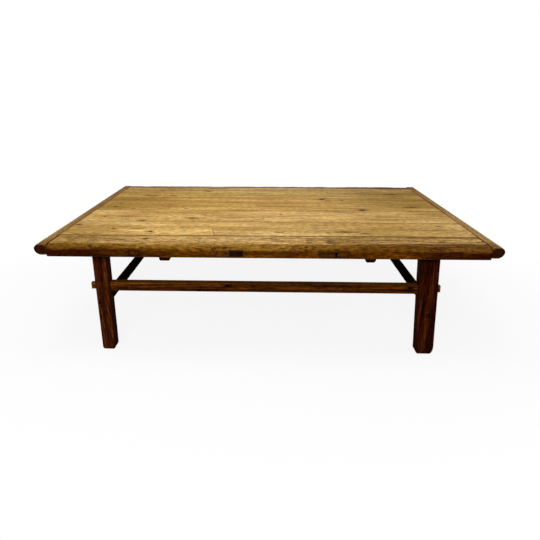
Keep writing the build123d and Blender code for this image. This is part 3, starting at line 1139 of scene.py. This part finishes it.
# the even rounding of the CAD foot, then that of the worn foot's inner end, outer end and
# both sides, as (depth, height), in millimetres
FOOT_ROUNDINGS = {
    "leg_front_left": (9, (10, 14), (10, 14), (10, 12)),
    "leg_front_right": (15, (10, 12), (16, 32), (7, 8)),
    "leg_rear_left": (10, (11, 16), (11, 16), (10, 12)),
    "leg_rear_right": (12, (10, 12), (14, 24), (8, 9)),
}
FOOT_GRIME = ((-TABLE_END, -EDGE, -1 * MM), (TABLE_END, EDGE, 20 * MM))  # box of the grimy arrises
FOOT_CUTS = np.array([1.5, 3, 7.5]) * MM  # above the floor, for a smooth foot
SHANK_HEIGHT = 40 * MM  # how far up a foot is measured, above its rounding


def rounding(height, depth, reach):
    """How far an elliptical round of this depth and reach goes in at a height above the floor."""
    away = np.clip(1 - height / (reach * MM), 0, 1)
    return depth * MM * (1 - np.sqrt(1 - away**2))


def worn_foot(node):
    """The foot is worn to a round of its own on each side, in place of the CAD's even one."""
    even, inner, outer, across = FOOT_ROUNDINGS[node]
    along = (outer, inner) if node.endswith("left") else (inner, outer)
    points = values_of(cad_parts[node].data, "co")
    shank = points[points[:, 2] < SHANK_HEIGHT]
    low, high = shank.min(axis=0), shank.max(axis=0)

    def warp(points):
        height = np.maximum(points[:, 2], 1 * MM)
        for axis, (below, above) in enumerate((along, (across, across))):
            middle, half = (low[axis] + high[axis]) / 2, (high[axis] - low[axis]) / 2
            off_middle = points[:, axis] - middle
            worn = np.where(off_middle < 0, rounding(height, *below), rounding(height, *above))
            scale = (half - worn) / (half - rounding(height, even, even))
            points[:, axis] = middle + off_middle * scale
        return points

    return warp


def make_leg(node):
    low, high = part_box(node)
    piece = worn_piece(node, "leg", [(2, FOOT_CUTS)], grime_and_shade_box=FOOT_GRIME, warp=worn_foot(node))
    pith = ((low.x + high.x) / 2 + 0.03, (low.y + high.y) / 2 + 0.035)
    knots = knot_marks(LEG_KNOTS[node], stretch=1.5, grain="Z", second="z")
    shown = RED_LEG_LOOK if node == "leg_front_right" else LEG_LOOK
    piece.data.materials.append(wood(node, "Z", shown, pith, knots, patina=leg_shadow_and_damp))


# middle along the table and above the floor, and half width
STRETCHER_KNOTS = {"stretcher_front": [(-129, 246, 5), (485, 245, 5)], "stretcher_rear": [(150, 238, 5)]}


def make_long_stretcher(node):
    low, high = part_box(node)
    piece = worn_piece(node, "long stretcher")
    pith = ((low.y + high.y) / 2 + 0.02, (low.z + high.z) / 2 - 0.04)
    knots = knot_marks(STRETCHER_KNOTS[node], stretch=1.7, second="z")
    piece.data.materials.append(
        wood(node, "X", STRETCHER_LOOK, pith, knots, patina=partial(lit_and_rubbed_patina, top=high.z))
    )


def make_side_stretcher(node):
    low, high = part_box(node)
    piece = worn_piece(node, "side stretcher")
    pith = ((low.x + high.x) / 2 + 0.02, (low.z + high.z) / 2 - 0.04)
    # painted shade makes the inner and upper faces near black
    patina = partial(painted_shade_patina, outer=max(-low.x, high.x))
    piece.data.materials.append(wood(node, "Y", SIDE_STRETCHER_SHADE_LOOK, pith, patina=patina))


for number in range(1, 5):
    make_plank(number)
for side, row in ((-1, "front"), (1, "rear")):
    make_rail(f"rail_{row}", side)
for side, end in ((-1, "left"), (1, "right")):
    make_end_board(f"end_board_{end}", side)
for number in range(1, 5):
    make_batten(number)
for row, end in itertools.product(("front", "rear"), ("left", "right")):
    make_leg(f"leg_{row}_{end}")
for row in ("front", "rear"):
    make_long_stretcher(f"stretcher_{row}")
for end in ("left", "right"):
    make_side_stretcher(f"stretcher_{end}")


# ---- floor, world and lamps ----


def ray_is_seen(g):
    """1 for rays from the camera, and for those seen in gloss or through glass."""
    rays = g.node("ShaderNodeLightPath").outputs
    seen = g.math("MAXIMUM", rays["Is Camera Ray"], rays["Is Glossy Ray"])
    return g.math("MAXIMUM", seen, rays["Is Transmission Ray"])


WHITE = (1, 1, 1, 1)
FLOOR_RADIUS = 30  # metres
FLOOR_PALE = (0.9, 0.9, 0.9, 1)  # what the camera sees of it where the shadow falls
FLOOR_DULL = (0.14, 0.135, 0.13, 1)  # what it gives back from below
SHADOW_FADE = (0.5, 1.2)  # metres from the table's middle between which the shadow fades
SHADOW_FORM = (0.7, 1.0, 0.0)  # it is longer along the table, and height doesn't count
LEAST_WHITE = 0.88  # share of plain white under the table


def make_floor():
    """White to the camera but for the table's shadow, and dull to the light that it gives back."""
    mesh = bmesh.new()
    bmesh.ops.create_circle(mesh, cap_ends=True, segments=96, radius=FLOOR_RADIUS)
    data = bpy.data.meshes.new("floor")
    mesh.to_mesh(data)
    mesh.free()
    floor = add_object("floor", data)

    material = new_material("floor")
    g = Graph(material.node_tree)
    g.tree.nodes.remove(g.tree.nodes["Principled BSDF"])
    white = g.node("ShaderNodeEmission", WHITE, 1.0).outputs[0]
    pale = g.node("ShaderNodeBsdfDiffuse", FLOOR_PALE).outputs[0]
    dull = g.node("ShaderNodeBsdfDiffuse", FLOOR_DULL).outputs[0]
    away = g.length(g.vector("MULTIPLY", g.place(), SHADOW_FORM))
    fade = g.times_plus(g.step(away, *SHADOW_FADE), 1 - LEAST_WHITE, LEAST_WHITE)
    seen = g.node("ShaderNodeMixShader", fade, pale, white).outputs[0]
    both = g.node("ShaderNodeMixShader", ray_is_seen(g), dull, seen).outputs[0]
    g.put(g.tree.nodes["Material Output"].inputs["Surface"], both)
    data.materials.append(material)


WORLD_LIGHT = 0.12  # the world's light on the table; the camera sees it plain white


def make_world():
    world = bpy.data.worlds.new("studio")
    bpy.context.scene.world = world
    world.use_nodes = True
    g = Graph(world.node_tree)
    g.tree.nodes.clear()
    lit = g.node("ShaderNodeBackground", WHITE, WORLD_LIGHT).outputs[0]
    seen = g.node("ShaderNodeBackground", WHITE, 1.0).outputs[0]
    mixed = g.node("ShaderNodeMixShader", ray_is_seen(g), lit, seen).outputs[0]
    g.node("ShaderNodeOutputWorld", mixed)


# where each lamp stands and points, its width and height, in metres, and its power in watts
LAMPS = {
    "overhead": ((-0.20, -0.36, 1.9), (-0.14, -0.18, 0.4), (1.1, 0.8), 17.0),
    "front": ((-0.5, -3.2, 1.7), (0, -0.3, 0.2), (1.6, 1.2), 58),
    "rear": ((0.3, 3.2, 0.35), (0, 0.45, 0.2), (1.6, 0.5), 26),
    "left": ((-3.2, 0, 1.2), (-0.6, 0, 0.2), (1.0, 1.0), 18),
    "right": ((3.2, 0, 1.2), (0.6, 0, 0.2), (1.0, 1.0), 18),
}


def area_lamp(name, place, aim, size, power):
    lamp = bpy.data.lights.new(name, "AREA")
    lamp.shape = "RECTANGLE"
    lamp.size, lamp.size_y = size
    lamp.energy = power
    holder = add_object(name, lamp)
    holder.location = place
    direction = Vector(aim) - Vector(place)
    holder.rotation_euler = direction.to_track_quat("-Z", "Y").to_euler()


make_floor()
make_world()
for name, settings in LAMPS.items():
    area_lamp(name, *settings)


# ---- camera, at the photograph's viewpoint ----

CAMERA_PLACE = (10.18 * MM, -1798.86 * MM, 857.29 * MM)
CAMERA_DOWN = 0.38663  # radians, below the horizon
CAMERA_TURN = 0.03151  # radians, to the left of straight ahead
CAMERA_ROLL = -0.00223  # radians, anticlockwise
IMAGE_SIZE = 540  # pixels
FOCAL_LENGTH = 440  # pixels
PRINCIPAL_X = 256  # pixels from the image's left edge
SENSOR_WIDTH = 36  # millimetres


def make_camera():
    data = bpy.data.cameras.new("camera")
    data.sensor_width = SENSOR_WIDTH
    data.lens = FOCAL_LENGTH / IMAGE_SIZE * SENSOR_WIDTH
    data.shift_x = (IMAGE_SIZE / 2 - PRINCIPAL_X) / IMAGE_SIZE
    camera = add_object("camera", data)
    camera.matrix_world = (
        Matrix.Translation(CAMERA_PLACE)
        @ Matrix.Rotation(CAMERA_TURN, 4, "Z")
        @ Matrix.Rotation(math.pi / 2 - CAMERA_DOWN, 4, "X")
        @ Matrix.Rotation(CAMERA_ROLL, 4, "Z")
    )
    bpy.context.scene.camera = camera


make_camera()
bpy.context.scene.view_settings.view_transform = "Standard"
